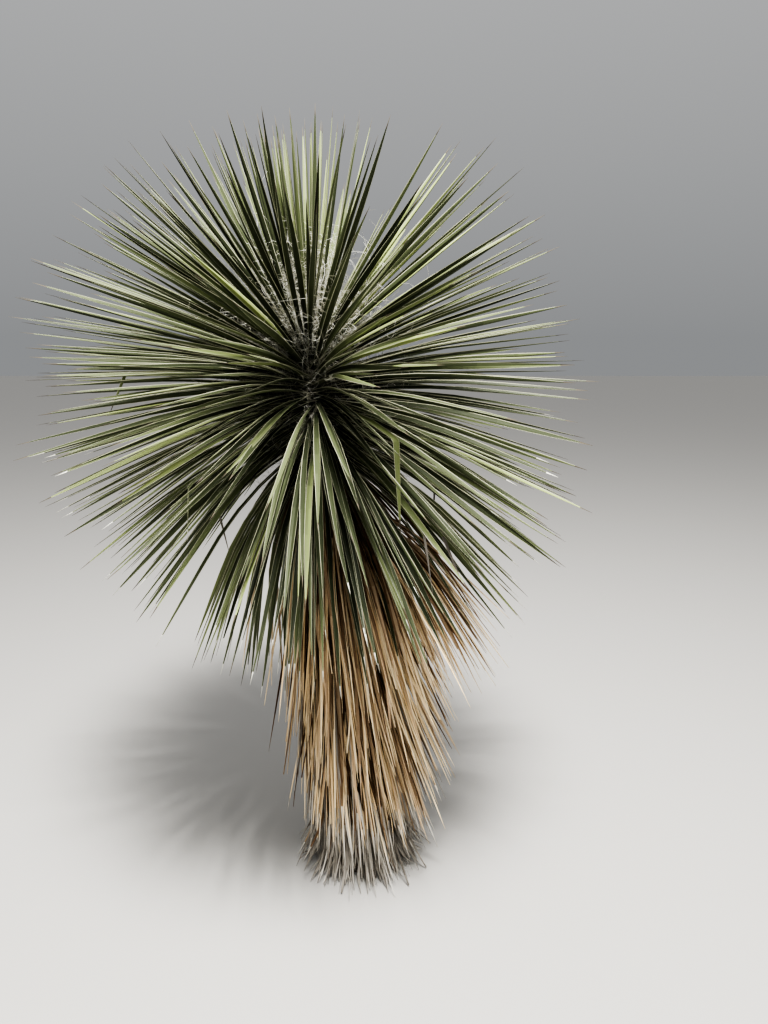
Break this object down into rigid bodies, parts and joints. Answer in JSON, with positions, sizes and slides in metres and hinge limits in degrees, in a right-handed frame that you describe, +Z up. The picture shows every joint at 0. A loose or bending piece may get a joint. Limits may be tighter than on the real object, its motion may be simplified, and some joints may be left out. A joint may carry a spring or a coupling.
{
  "type": "soaptree yucca",
  "caption": "Soaptree yucca with a round head of stiff narrow green leaves on a short leaning trunk, wrapped in a skirt of dead straw-coloured leaves.",
  "frame": {"origin": "middle of the flat cut under the trunk, at ground level", "axes": "+Z up, -Y the side that the picture shows, so the trunk leans towards -X"},
  "size_m": [1.548, 1.5375, 2.1274],
  "materials": {
    "bark": "rough, scarred",
    "green_leaf": "waxy, satin",
    "dead_leaf": "dry, matt",
    "weathered_leaf": "dry, matt"
  },
  "bodies": {
    "root": {"trunk": "bark", "spear": "green_leaf", "crown_upper_1": "green_leaf", "crown_upper_2": "green_leaf", "crown_upper_3": "green_leaf", "crown_upper_4": "green_leaf", "crown_upper_5": "green_leaf", "crown_middle_1": "green_leaf", "crown_middle_2": "green_leaf", "crown_middle_3": "green_leaf", "crown_middle_4": "green_leaf", "crown_middle_5": "green_leaf", "crown_middle_6": "green_leaf", "crown_middle_7": "green_leaf", "crown_lower_1": "green_leaf", "crown_lower_2": "green_leaf", "crown_lower_3": "green_leaf", "crown_lower_4": "green_leaf", "crown_lower_5": "green_leaf", "crown_lower_6": "green_leaf", "crown_lower_7": "green_leaf", "crown_hanging_1": "green_leaf", "crown_hanging_2": "green_leaf", "crown_hanging_3": "green_leaf", "crown_hanging_4": "green_leaf", "crown_hanging_5": "green_leaf", "crown_hanging_6": "green_leaf", "skirt_upper_1": "dead_leaf", "skirt_upper_2": "dead_leaf", "skirt_upper_3": "dead_leaf", "skirt_upper_4": "dead_leaf", "skirt_upper_5": "dead_leaf", "skirt_upper_6": "dead_leaf", "skirt_lower_1": "dead_leaf", "skirt_lower_2": "dead_leaf", "skirt_lower_3": "dead_leaf", "skirt_lower_4": "dead_leaf", "skirt_lower_5": "dead_leaf", "collar_1": "weathered_leaf", "collar_2": "weathered_leaf", "collar_3": "weathered_leaf", "collar_4": "weathered_leaf"}
  },
  "joints": []
}
